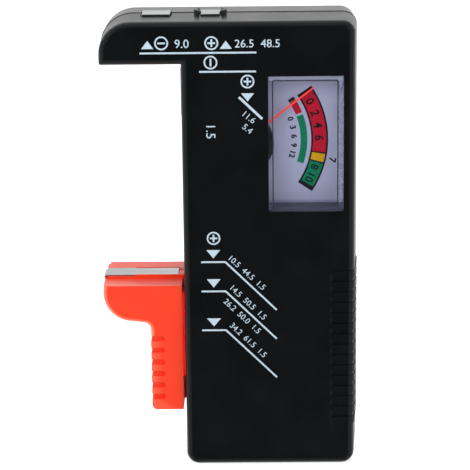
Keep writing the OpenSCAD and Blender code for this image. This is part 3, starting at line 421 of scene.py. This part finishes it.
def sector(inner, outer, start, end):
    """A flat piece of a ring on the dial between two angles, which lie within half a turn."""
    x, z = DIAL_CENTRE
    obj = hollow(disc(x, z, outer, 180, DIAL_Y), outer - inner)
    a, b = math.radians(start), math.radians(end)
    trim(obj, (x, DIAL_Y, z), (math.sin(a), 0, -math.cos(a)))
    return trim(obj, (x, DIAL_Y, z), (-math.sin(b), 0, math.cos(b)))


def print_ink(shapes, name, material, lift=0.0):
    """One print on the case from flat shapes: as thick as ink, towards the front, and stood off by lift."""
    obj = join(shapes, name)
    edit(obj)
    bpy.ops.mesh.remove_doubles(threshold=1e-6)
    bpy.ops.mesh.extrude_region_move(TRANSFORM_OT_translate={"value": (0, -INK * MM, 0)})
    bpy.ops.mesh.select_all(action="SELECT")
    bpy.ops.mesh.normals_make_consistent(inside=False)
    bpy.ops.transform.translate(value=(0, -lift * MM, 0))
    leave_edit()
    return finish(obj, name, CASE, material)


# ---------------------------------------------------------------- pieces from the CAD solids

SHARP = math.radians(35)         # an edge that turns more than this is sharp
BODY_OF = {node: body for body, nodes in frame["record"]["behaviour"]["bodies"].items() for node in nodes}


def pick(obj, places, edges=False):
    """Opens an object for editing with the points selected, or the sharp edges, whose places in mm pass."""
    edit(obj, "DESELECT")
    bpy.ops.mesh.select_mode(type="EDGE" if edges else "VERT")
    mesh = bmesh.from_edit_mesh(obj.data)
    if edges:
        for e in mesh.edges:
            if len(e.link_faces) == 2 and e.calc_face_angle() > SHARP:
                e.select_set(all(places(v.co / MM) for v in e.verts))
    else:
        for v in mesh.verts:
            v.select_set(places(v.co / MM))
        mesh.select_flush(True)
    bmesh.update_edit_mesh(obj.data)


def dress(node, material, bevel, shape=None):
    """A copy of a CAD solid with its facets merged, its own shape work, softened edges and its finish."""
    obj = bpy.data.objects.new(node + "_dressed", frame["nodes"][node].data.copy())
    bpy.context.scene.collection.objects.link(obj)
    edit(obj)
    bpy.ops.mesh.remove_doubles(threshold=2e-6)
    bpy.ops.mesh.tris_convert_to_quads(face_threshold=math.radians(0.5), shape_threshold=math.pi)
    leave_edit()
    if shape:
        shape(obj)
    soft = obj.modifiers.new("soft_edges", "BEVEL")
    soft.width = bevel * MM
    soft.segments = 2
    soft.limit_method = "ANGLE"
    soft.angle_limit = SHARP
    soft.miter_outer = "MITER_ARC"
    only(obj)
    bpy.ops.object.modifier_apply(modifier="soft_edges")
    bpy.ops.object.shade_smooth_by_angle(angle=SHARP)
    even = obj.modifiers.new("even_shading", "WEIGHTED_NORMAL")
    even.keep_sharp = True
    even.weight = 100
    bpy.ops.object.modifier_apply(modifier="even_shading")
    return finish(obj, node + "_dressed", BODY_OF[node], material, (node,))


SIDE_FLARE = 1.1                 # the covers widen to the seam on the right side, to leave their moulds,
SIDE_ZONE = (13.0, 20.1)         # from none to all of it between these x
END_FLARE = 0.45                 # and at the jaw's end,
END_ZONE = (31.0, 39.0)          # between these distances to the left
BACK_LOSS = 0.5                  # how much of that is gone again at the back
FRONT_SINK = 0.13                # the front cover's top stands this much below the rear one's at the seam,
TOP_ZONE = (96.0, 108.0)         # from none to all of it between these heights


def share(value, start, end):
    """How far a value has come on its way from start to end, between 0 and 1."""
    return min(max((value - start) / (end - start), 0), 1)


def flare(obj, sink=0.0):
    """Draws the right side and the jaw's end out towards the seam, and sinks the top there. Every point
    moves by its place, because the covers have too many edges to draw out one by one."""
    for v in obj.data.vertices:
        x, y, z = v.co / MM
        if y < SEAM_Y:
            depth = (y - FRONT_Y) / (SEAM_Y - FRONT_Y)
        else:
            depth = 1 - BACK_LOSS * (y - SEAM_Y) / (-FRONT_Y - SEAM_Y)
        side = share(x, *SIDE_ZONE)
        end = share(-x, *END_ZONE) if z > TOP_ZONE[0] else 0
        top = share(z, *TOP_ZONE)
        v.co.x += (side * SIDE_FLARE - end * (END_FLARE - sink)) * depth * MM
        v.co.z -= top * sink * depth * depth * MM


SLIDER_FRONT = -9.8              # the slider's front face
ON_FRONT = 0.02                  # how near a point that is on it lies
GROOVE_FLOOR = (0.4, 0.7)        # how far behind it the finger grooves' floors lie,
GROOVE_END = (-25.75, -24.5)     # between which x their round ends,
GROOVE_Z = (15, 33)              # and between which heights
GROOVE_SLOPE = 0.6               # how much deeper a groove is at its round end
FREE_EDGE = (-28.35, 31.85)      # the free edge is rounded left of this x and above this z,
EDGE_ROUND = 1.1                 # by this radius
EDGE_HIGHLIGHT_DEPTH = 0.12                 # how far behind the front its painted highlight is full
LOWER_EDGE = (-28.2, -9.0, 33)   # left of, before and below this it isn't rounded,
LOWER_HIGHLIGHT = 0.6                 # and has a weaker painted highlight


def ease_slider(obj):
    """Slopes the finger grooves down to their round ends, rounds the free edge well over and marks it
    for a painted highlight.
    """
    pick(obj, lambda p: SLIDER_FRONT + GROOVE_FLOOR[0] < p.y < SLIDER_FRONT + GROOVE_FLOOR[1]
         and GROOVE_END[0] < p.x < GROOVE_END[1] and GROOVE_Z[0] < p.z < GROOVE_Z[1])
    bpy.ops.transform.translate(value=(0, GROOVE_SLOPE * MM, 0))
    leave_edit()
    pick(obj, lambda p: abs(p.y - SLIDER_FRONT) < ON_FRONT)
    bpy.ops.mesh.select_mode(type="FACE")
    bpy.ops.mesh.dissolve_faces()
    leave_edit()
    pick(obj, lambda p: abs(p.y - SLIDER_FRONT) < ON_FRONT and p.x < FREE_EDGE[0] and p.z > FREE_EDGE[1],
         edges=True)
    bpy.ops.mesh.bevel(offset=EDGE_ROUND * MM, segments=5, affect="EDGES", clamp_overlap=False)
    leave_edit()
    # the mark paints the rounded edge paler: a painted highlight, weaker on the lower edge
    edge = obj.data.attributes.new("edge", "FLOAT", "POINT")
    for v, mark in zip(obj.data.vertices, edge.data):
        x, y, z = v.co / MM
        if v.select:
            mark.value = share(y, SLIDER_FRONT, SLIDER_FRONT + EDGE_HIGHLIGHT_DEPTH)
        elif x < LOWER_EDGE[0] and y < LOWER_EDGE[1] and z < LOWER_EDGE[2]:
            mark.value = LOWER_HIGHLIGHT


for names, material in (
        (("case_screws", "terminal_nuts", "pivot_pins"), ZINC),
        (("contact_rail", "core_spacers", "bridge_screws", "bearing_screws", "meter_terminals",
          "wiper_rivet", "balance_weights"), BRASS),
        (("hairspring_front", "hairspring_rear", "slider_wiper"), BRONZE),
        (("jaw_wire", "link_wire"), WIRE_BLACK), (("block_wire", "rail_wire"), WIRE_RED),
        (("button_wire",), WIRE_YELLOW), (("circuit_board",), LAMINATE),
        (("cell_load_resistor",), RESISTOR_BLUE), (("block_load_resistor", "series_resistor"), RESISTOR_TAN),
        (("yoke_ring",), IRON), (("magnet_core",), MAGNET), (("coil_former",), ALUMINIUM),
        (("coil_winding",), COPPER), (("meter_base",), INNER_ABS), (("dial_plate",), DIAL_PAINT),
        (("pointer",), NEEDLE_PAINT)):
    for name in names:
        finishes = frame["nodes"][name].data.materials
        finishes.clear()
        finishes.append(material)

# dressed solids: finish, radius of the softened edges, and own shape work
for name, material, bevel, shape in (
        ("front_cover", CASE_ABS, 0.12, lambda obj: flare(obj, FRONT_SINK)),
        ("back_cover", REAR_ABS, 0.12, flare), ("slider", SLIDER_ABS, 0.25, ease_slider),
        ("slider_contact", NICKEL, 0.06, None), ("jaw_contact", NICKEL, 0.06, None),
        ("button_contact", NICKEL, 0.06, None), ("snap_contact_negative", NICKEL, 0.1, None),
        ("snap_contact_positive", NICKEL, 0.1, None), ("cap_bridge", INNER_ABS, 0.15, None),
        ("meter_lens", CLEAR, 0.08, None)):
    dress(name, material, bevel, shape)


# ---------------------------------------------------------------- print on the case

LINE = 0.42                      # width of the guide lines and of the signs
BOLD = 0.02                      # by which the figures at the top are fatter
RING = (1.6, 0.36)               # radius and wall of the ring round a sign
SIGNS = {                        # its bars: middle x and z, length across and length up
    "-": ((0, 0, 1.75, LINE),),
    "|": ((0, 0, LINE, 1.75),),
    "+": ((0, 0, 1.75, LINE), (0, -0.545, LINE, 0.67), (0, 0.545, LINE, 0.67))}

# guide lines: middle x and z, length and width, or the points that they run through
prints = [bar(-16.0, 100.9, 26.8, LINE), bar(-9.25, 96.5, 13.1, LINE),
          stripe([(-6.7, 90.5), (-1.35, 85.35)], 0.58)]
prints += stamp(stripe([(-16.0, 0), (-10.3, 0), (1.75, -11.9)], LINE),
                [(0, z, 1, 1) for z in (51.0, 43.8, 34.15)])
for sign, places in (("-", ((-24.4, 103.2),)), ("+", ((-12.9, 103.15), (-4.7, 94.15), (-13.0, 56.8))),
                     ("|", ((-13.15, 98.65),))):
    ring = hollow(disc(0, 0, RING[0], 48, FRONT_Y), RING[1])
    prints += stamp(join([ring] + [bar(*place) for place in SIGNS[sign]], "sign"),
                    [(x, z, 1, 1) for x, z in places])
# arrowheads: middle of the base, width, and height, which is negative where they point down
prints += stamp(arrowhead(), [
    (-27.6, 101.9, 2.8, 1.9), (-9.6, 101.8, 2.8, 1.9), (-4.7, 91.4, 3.0, -1.9),
    (-13.1, 53.95, 3.25, -2.05), (-13.1, 46.8, 3.25, -2.05), (-13.15, 37.1, 3.3, -2.0)])
# figures: where the baseline starts, height, turn, and how much fatter they are
for text, x, z, height, angle, bold in (
        ("9.0", -21.4, 102.1, 1.95, 0, BOLD), ("26.5  48.5", -7.6, 102.1, 1.85, 0, BOLD),
        ("1.5", -14.35, 84.4, 2.15, -90, 0), ("11.6", -6.3, 86.4, 1.45, -39, 0),
        ("5.4", -6.2, 83.3, 1.45, -39, 0), ("10.5  44.5  1.5", -9.9, 51.85, 1.4, -43.6, 0),
        ("14.5  50.5  1.5", -9.6, 44.6, 1.4, -44.6, 0), ("26.2  50.0  1.5", -11.0, 41.15, 1.4, -44.4, 0),
        ("34.2  61.5  1.5", -9.6, 35.2, 1.4, -44.7, 0)):
    prints.append(numbers(text, x, z, height, angle, bold))
print_ink(prints, "case_print", INK_WHITE)


# ---------------------------------------------------------------- dial

BIG = (18.6, 22.5)               # inner and outer radius of the big arc
SMALL = (16.05, 17.65)           # and of the small one
EDGE = 0.38                      # width of the big arc's black edge, within the arc
SPILL = 0.05                     # by which the black reaches past the arc
DIAL_BOLD = 0.06                 # by which the dial's figures are fatter
BLACK_ARC = (BIG[0] - SPILL, BIG[1] + SPILL)
COLOUR_ARC = (BIG[0] + EDGE, BIG[1] - EDGE)
LAYER = 0.012                    # each layer of ink stands a little proud of the one under it

# arcs: inner and outer radius, and the two angles that each runs between, from the right and anticlockwise
for name, material, layer, arcs in (
        ("dial_black", INK_BLACK, 0, ((*BLACK_ARC, -33.9, 34.6), (*SMALL, 33.2, 35.6))),
        ("dial_red", INK_RED, 1, ((*COLOUR_ARC, -8.4, 32.3), (*SMALL, 21.6, 33.0))),
        ("dial_yellow", INK_YELLOW, 1, ((*COLOUR_ARC, -14.6, -9.4),)),
        ("dial_green", INK_GREEN, 1, ((*COLOUR_ARC, -31.2, -15.6), (*SMALL, -19.3, 20.3)))):
    print_ink([sector(*arc) for arc in arcs], name, material, layer * LAYER)

figures = []
# figures: angle and radius of the middle of the baseline, and height
for text, angle, radius, height in (
        ("0", 26.5, 19.45, 1.95), ("2", 18.0, 19.45, 1.95), ("4", 9.5, 19.45, 1.95),
        ("6", 1.0, 19.45, 1.95), ("7", -12.0, 23.3, 1.6), ("8", -19.0, 19.6, 1.8),
        ("10", -26.5, 19.6, 1.8), ("0", 20.0, 13.9, 1.3), ("3", 11.5, 13.9, 1.3), ("6", 3.0, 13.9, 1.3),
        ("9", -5.5, 13.9, 1.3), ("12", -14.0, 13.9, 1.3)):
    a = math.radians(angle)
    figures.append(numbers(text, DIAL_CENTRE[0] + radius * math.cos(a),
                           DIAL_CENTRE[1] + radius * math.sin(a), height, angle - 90, DIAL_BOLD,
                           DIAL_Y, "CENTER"))
print_ink(figures, "dial_figures", INK_BLACK, 2 * LAYER)


# ---------------------------------------------------------------- floor, light and camera

def white_board():
    """White painted board: matt, a little uneven, and lit up for the camera alone."""
    material, tree, where = new_material("white_painted_board")
    patches = add_node(tree, "TexNoise", {"Scale": 1 / (60.0 * MM), "Detail": 2.0}, {"Vector": where})
    tint = add_node(tree, "Mix", {"data_type": "RGBA", 6: to_linear("#f2f2f2"), 7: to_linear("#ededee")},
                    {0: patches})
    paint = add_node(tree, "BsdfPrincipled", {"Roughness": 0.7, "Specular IOR Level": 0.1},
                     {"Base Color": tint})
    ray = add_node(tree, "LightPath").outputs
    strength = add_node(tree, "MapRange", {4: 0.6}, {0: ray["Is Camera Ray"]})
    glow = add_node(tree, "Emission", {"Color": (1, 1, 1, 1)}, {"Strength": strength})
    both = add_node(tree, "AddShader", links={0: paint, 1: glow})
    add_node(tree, "OutputMaterial", links={"Surface": both})
    return material


bpy.ops.object.select_all(action="DESELECT")
bpy.ops.mesh.primitive_plane_add(size=4, location=(0, 0, 0))
floor = bpy.context.object
floor.visible_glossy = floor.visible_transmission = False
floor.name = floor.data.name = "floor"
floor.data.materials.append(white_board())

# square softboxes: place, what each aims at, width in metres and power in watts; polished faces mirror the
# world and not the lamps
for name, place, target, width, watts in (
        ("softbox_left", (-0.5, -0.75, 0.34), (-0.01, 0, 0.06), 0.5, 2.0),
        ("softbox_side", (-0.75, -0.2, 0.25), (-0.01, 0, 0.06), 0.4, 2.6),
        ("softbox_front", (0.0, -0.8, 0.55), (0, 0, 0.06), 0.4, 1.6),
        ("softbox_right", (0.45, -0.75, 0.28), (0, 0, 0.06), 0.5, 1.0),
        ("softbox_top", (0.0, 0.15, 0.8), (0, 0, 0.05), 0.6, 3.0)):
    bpy.ops.object.light_add(type="AREA", location=place)
    lamp = bpy.context.object
    lamp.name = name
    lamp.data.shape = "SQUARE"
    lamp.data.size = width
    lamp.data.energy = watts
    lamp.visible_glossy = False
    lamp.rotation_euler = (Vector(target) - Vector(place)).to_track_quat("-Z", "Y").to_euler()

AMBIENT = 0.5                    # soft light from all around
DARK_ROOM = 0.035                # what polished faces mirror from the dark room in front of the object,
SIDES = 0.45                     # from the pale cards around it
BACKDROP = 0.85                  # and from the lit backdrop
ROOM_SHAPE = (1, 1, 0.6)         # the dark room looks taller than wide
ROOM_EDGE = (-0.955, -0.88)      # how straight ahead its edge lies, from dark to pale
BACKDROP_EDGE = (-0.4, 0.1)      # and how far back the backdrop starts

world = bpy.data.worlds.new("white_studio")
bpy.context.scene.world = world
world.use_nodes = True
tree = world.node_tree
tree.nodes.clear()
direction = add_node(tree, "TexCoord").outputs["Generated"]
squeezed = add_node(tree, "VectorMath", {"operation": "MULTIPLY", 1: ROOM_SHAPE}, {0: direction})
squeezed = add_node(tree, "VectorMath", {"operation": "NORMALIZE"}, {0: squeezed})
ahead = add_node(tree, "SeparateXYZ", links={0: squeezed}).outputs["Y"]
cards = add_node(tree, "MapRange", {1: ROOM_EDGE[0], 2: ROOM_EDGE[1], 3: DARK_ROOM, 4: SIDES}, {0: ahead})
depth = add_node(tree, "SeparateXYZ", links={0: direction}).outputs["Y"]
backdrop = add_node(tree, "MapRange", {1: BACKDROP_EDGE[0], 2: BACKDROP_EDGE[1], 4: BACKDROP}, {0: depth})
mirrored = add_node(tree, "Math", {"operation": "MAXIMUM"}, {0: backdrop, 1: cards})
ray = add_node(tree, "LightPath").outputs
plain = add_node(tree, "MapRange", {3: AMBIENT, 4: 1.0}, {0: ray["Is Camera Ray"]})
polished = add_node(tree, "Math", {"operation": "MAXIMUM"},
                    {0: ray["Is Glossy Ray"], 1: ray["Is Transmission Ray"]})
strength = add_node(tree, "Mix", {"data_type": "FLOAT"}, {0: polished, 2: plain, 3: mirrored})
back = add_node(tree, "Background", {"Color": (1, 1, 1, 1)}, {"Strength": strength})
add_node(tree, "OutputWorld", links={"Surface": back})

CAMERA_PLACE = (-0.002544, -0.472965, 0.182234)
PITCH, YAW, ROLL = 0.26436, 0.01173, -0.01087       # down, to the left and round the view, in radians
FOCAL_LENGTH = 155.56
forward = Vector((-math.sin(YAW) * math.cos(PITCH), math.cos(YAW) * math.cos(PITCH), -math.sin(PITCH)))
level = Vector((math.cos(YAW), math.sin(YAW), 0))
above = level.cross(forward)
right = math.cos(ROLL) * level + math.sin(ROLL) * above
up = math.cos(ROLL) * above - math.sin(ROLL) * level
camera_data = bpy.data.cameras.new("camera")
camera = bpy.data.objects.new("camera", camera_data)
bpy.context.scene.collection.objects.link(camera)
turn = Matrix((right, up, -forward)).transposed().to_4x4()
camera.matrix_world = Matrix.Translation(CAMERA_PLACE) @ turn
camera_data.sensor_width = 36
camera_data.lens = FOCAL_LENGTH
camera_data.clip_start = 0.01
camera_data.clip_end = 20
bpy.context.scene.camera = camera
bpy.context.scene.view_settings.view_transform = "Standard"

bpy.context.view_layer.update()
